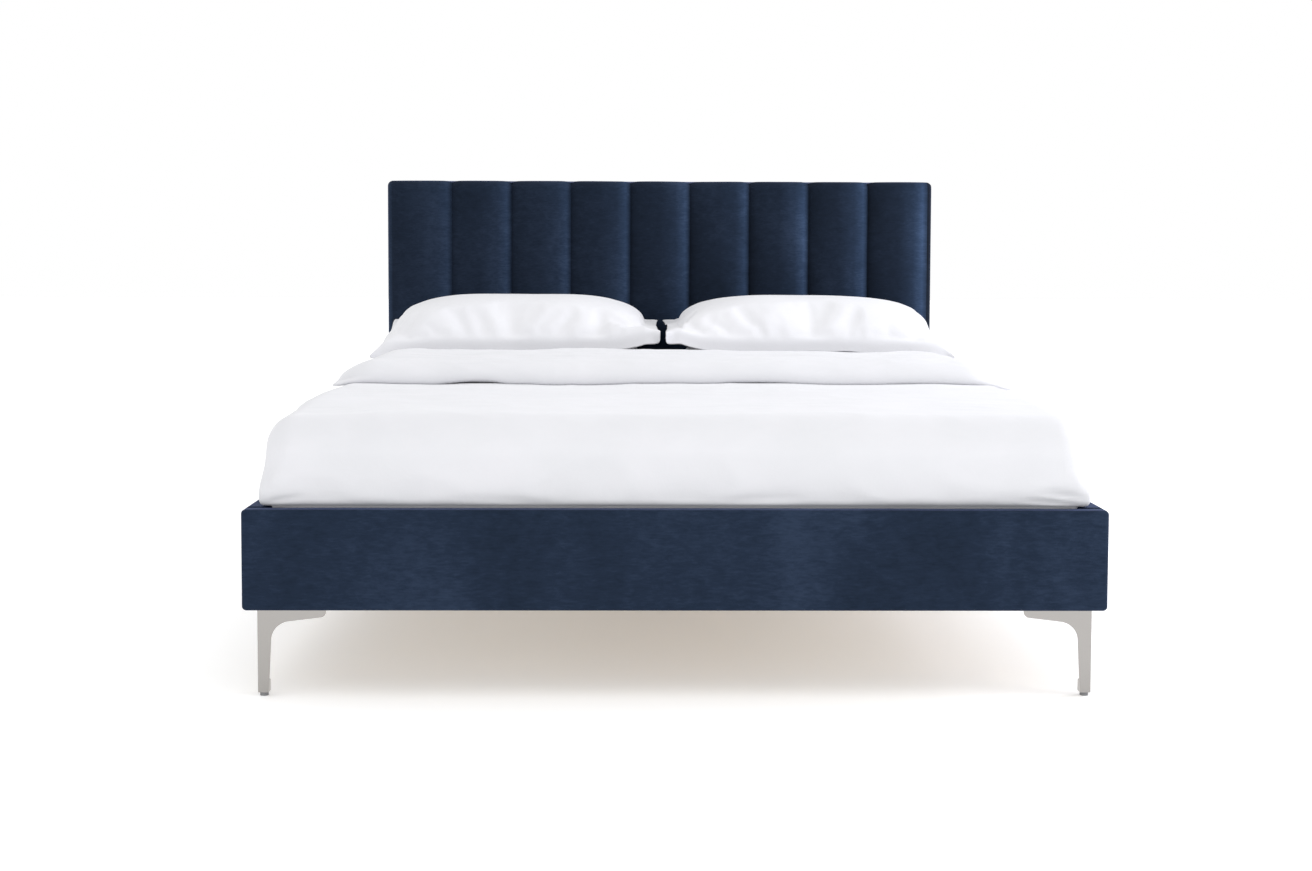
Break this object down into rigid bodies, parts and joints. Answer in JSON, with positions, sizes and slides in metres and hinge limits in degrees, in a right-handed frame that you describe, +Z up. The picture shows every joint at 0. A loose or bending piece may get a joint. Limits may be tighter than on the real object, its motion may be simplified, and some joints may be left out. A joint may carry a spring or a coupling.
{
  "type": "upholstered headboard bed",
  "caption": "Double bed with a channelled velvet headboard, upholstered rails, bright metal corner legs, slatted base, mattress, folded duvet and flanged pillows.",
  "frame": {"origin": "on the floor, in the middle of the bed's outline", "axes": "+X to the right for somebody at the foot, +Y to the head, +Z up"},
  "size_m": [1.621, 2.168, 1.05],
  "materials": {
    "velvet": "matte",
    "back_cloth": "matte",
    "foam": "matte",
    "timber": "matte",
    "slat_wood": "satin",
    "black_plastic": "matte",
    "chrome": "polished",
    "black_steel": "satin",
    "grey_plastic": "matte",
    "zinc": "satin",
    "ticking": "matte",
    "sheet_cotton": "matte",
    "duvet_cotton": "matte",
    "pillow_cotton": "matte"
  },
  "bodies": {
    "frame": {"beam_hangers": "zinc", "bracket_bolts": "zinc", "centre_beam": "timber", "centre_glide_1": "grey_plastic", "centre_leg_1": "black_steel", "corner_brackets": "zinc", "corner_gussets": "timber", "foot_rail_board": "timber", "foot_rail_cover": "velvet", "foot_rail_foam": "foam", "glide_foot_left": "grey_plastic", "glide_foot_right": "grey_plastic", "glide_head_left": "grey_plastic", "glide_head_right": "grey_plastic", "head_rail_board": "timber", "head_rail_cover": "velvet", "head_rail_foam": "foam", "headboard_back_cloth": "back_cloth", "headboard_channels": "foam", "headboard_cover": "velvet", "headboard_frame": "timber", "headboard_panel": "timber", "leg_foot_left": "chrome", "leg_foot_right": "chrome", "leg_head_left": "chrome", "leg_head_right": "chrome", "leg_screws": "zinc", "side_rail_left_board": "timber", "side_rail_left_cover": "velvet", "side_rail_left_foam": "foam", "side_rail_right_board": "timber", "side_rail_right_cover": "velvet", "side_rail_right_foam": "foam", "slat_01": "slat_wood", "slat_02": "slat_wood", "slat_03": "slat_wood", "slat_04": "slat_wood", "slat_05": "slat_wood", "slat_06": "slat_wood", "slat_07": "slat_wood", "slat_08": "slat_wood", "slat_09": "slat_wood", "slat_10": "slat_wood", "slat_11": "slat_wood", "slat_12": "slat_wood", "slat_13": "slat_wood", "slat_end_caps": "black_plastic", "slat_ledge_left": "timber", "slat_ledge_right": "timber"},
    "mattress": {"mattress": "ticking", "fitted_sheet": "sheet_cotton", "duvet": "duvet_cotton"},
    "pillow_lower_left": {"pillow_lower_left": "pillow_cotton"},
    "pillow_lower_right": {"pillow_lower_right": "pillow_cotton"},
    "pillow_upper_left": {"pillow_upper_left": "pillow_cotton"},
    "pillow_upper_right": {"pillow_upper_right": "pillow_cotton"}
  },
  "joints": [
    {"name": "mattress_lift", "type": "slide", "parent": "frame", "child": "mattress", "axis": [0, 0, 1], "range_m": [0, 0.35]},
    {"name": "pillow_lower_left_lift", "type": "slide", "parent": "mattress", "child": "pillow_lower_left", "axis": [0, 0, 1], "range_m": [0, 0.25]},
    {"name": "pillow_lower_right_lift", "type": "slide", "parent": "mattress", "child": "pillow_lower_right", "axis": [0, 0, 1], "range_m": [0, 0.25]},
    {"name": "pillow_upper_left_lift", "type": "slide", "parent": "pillow_lower_left", "child": "pillow_upper_left", "axis": [0, 0, 1], "range_m": [0, 0.25]},
    {"name": "pillow_upper_right_lift", "type": "slide", "parent": "pillow_lower_right", "child": "pillow_upper_right", "axis": [0, 0, 1], "range_m": [0, 0.25]}
  ]
}
